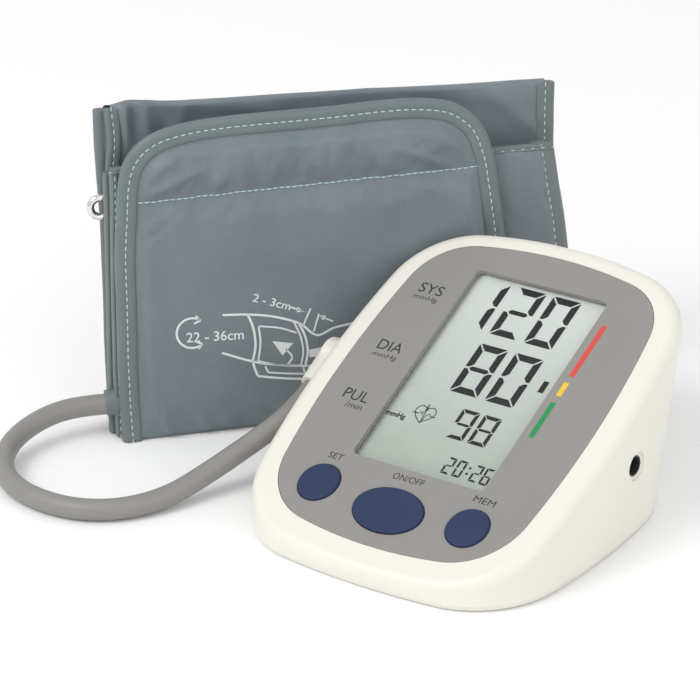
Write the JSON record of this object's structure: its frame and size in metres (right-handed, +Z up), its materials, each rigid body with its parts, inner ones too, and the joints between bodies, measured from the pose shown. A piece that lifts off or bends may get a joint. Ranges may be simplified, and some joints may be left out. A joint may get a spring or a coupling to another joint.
{
  "type": "upper arm blood pressure monitor",
  "caption": "Desktop digital blood pressure monitor with tilted display, buttons, air pump inside, and a folded arm cuff joined by an air tube and plug.",
  "frame": {"origin": "on the surface it stands on, under the centre of the monitor's housing", "axes": "+Z up, -Y the side that the display faces, +X out of the DC inlet"},
  "size_m": [0.207, 0.1821, 0.1104],
  "materials": {
    "housing": "smooth satin moulding",
    "panel": "fine satin",
    "window": "clear",
    "display": "matt polariser",
    "button": "satin",
    "soft_rubber": "matt",
    "tube_rubber": "satin",
    "silicone": "translucent",
    "black_plastic": "moulded",
    "circuit_board": "solder mask",
    "steel": "zinc plated",
    "nickel": "bright nickel",
    "copper": "lacquered",
    "magnet": "ferrite",
    "cell": "printed sleeve",
    "cuff_cloth": "coated nylon",
    "cuff_binding": "folded tape",
    "hook": "hook tape",
    "loop": "brushed loop",
    "tab_cloth": "coated nylon"
  },
  "bodies": {
    "monitor": {"upper_housing": "housing", "lower_housing": "housing", "rubber_feet": "soft_rubber", "housing_screws": "steel", "face_panel": "panel", "display_window": "window", "display_glass": "display", "display_frame": "black_plastic", "zebra_connectors": "soft_rubber", "main_board": "circuit_board", "board_chips": "black_plastic", "buzzer": "black_plastic", "set_switch": "black_plastic", "power_switch": "black_plastic", "memory_switch": "black_plastic", "battery_cell_1": "cell", "battery_cell_2": "cell", "battery_cell_3": "cell", "battery_cell_4": "cell", "battery_contacts": "nickel", "battery_springs": "nickel", "pump_motor": "steel", "motor_magnets": "magnet", "pump_head": "black_plastic", "air_manifold": "black_plastic", "pressure_sensor": "black_plastic", "inner_hoses": "silicone", "valve_body": "steel", "valve_spring": "steel", "air_socket": "housing", "dc_jack": "black_plastic", "dc_jack_pin": "nickel"},
    "set_button": {"set_button": "button", "set_plunger": "black_plastic"},
    "power_button": {"power_button": "button", "power_plunger": "black_plastic"},
    "memory_button": {"memory_button": "button", "memory_plunger": "black_plastic"},
    "battery_cover": {"battery_cover": "housing"},
    "rotor": {"pump_rotor": "copper"},
    "valve_plunger": {"valve_plunger": "steel"},
    "cuff": {"cuff_front_panel": "cuff_cloth", "cuff_front_binding": "cuff_binding", "cuff_middle_panel": "cuff_cloth", "cuff_middle_binding": "cuff_binding", "cuff_back_panel": "cuff_cloth", "cuff_back_binding": "cuff_binding", "cuff_bladder": "soft_rubber", "tube_port": "soft_rubber", "cuff_ring": "nickel", "cuff_ring_tab": "tab_cloth", "hook_patch": "hook", "loop_patch": "loop", "air_tube": "tube_rubber", "air_plug": "housing"}
  },
  "joints": [
    {"name": "set_press", "type": "slide", "parent": "monitor", "child": "set_button", "axis": [0, 0.4446, -0.8957], "range_m": [0, 0.0005], "stiffness_N_per_m": 1200, "springref_m": -0.0002},
    {"name": "power_press", "type": "slide", "parent": "monitor", "child": "power_button", "axis": [0, 0.4446, -0.8957], "range_m": [0, 0.0005], "stiffness_N_per_m": 1200, "springref_m": -0.0002},
    {"name": "memory_press", "type": "slide", "parent": "monitor", "child": "memory_button", "axis": [0, 0.4446, -0.8957], "range_m": [0, 0.0005], "stiffness_N_per_m": 1200, "springref_m": -0.0002},
    {"name": "battery_cover_slide", "type": "slide", "parent": "monitor", "child": "battery_cover", "axis": [0, 1, 0], "range_m": [0, 0.016]},
    {"name": "rotor_spin", "type": "hinge", "parent": "monitor", "child": "rotor", "pos_m": [0.016, 0.0355, 0.0305], "axis": [1, 0, 0], "continuous": true},
    {"name": "valve_stroke", "type": "slide", "parent": "monitor", "child": "valve_plunger", "axis": [0, 0, 1], "range_m": [0, 0.0012], "stiffness_N_per_m": 150, "springref_m": -0.001, "deforming": ["valve_spring"]},
    {"name": "air_plug_pull", "type": "slide", "parent": "monitor", "child": "cuff", "axis": [-1, 0, 0], "range_m": [0, 0.012]}
  ]
}
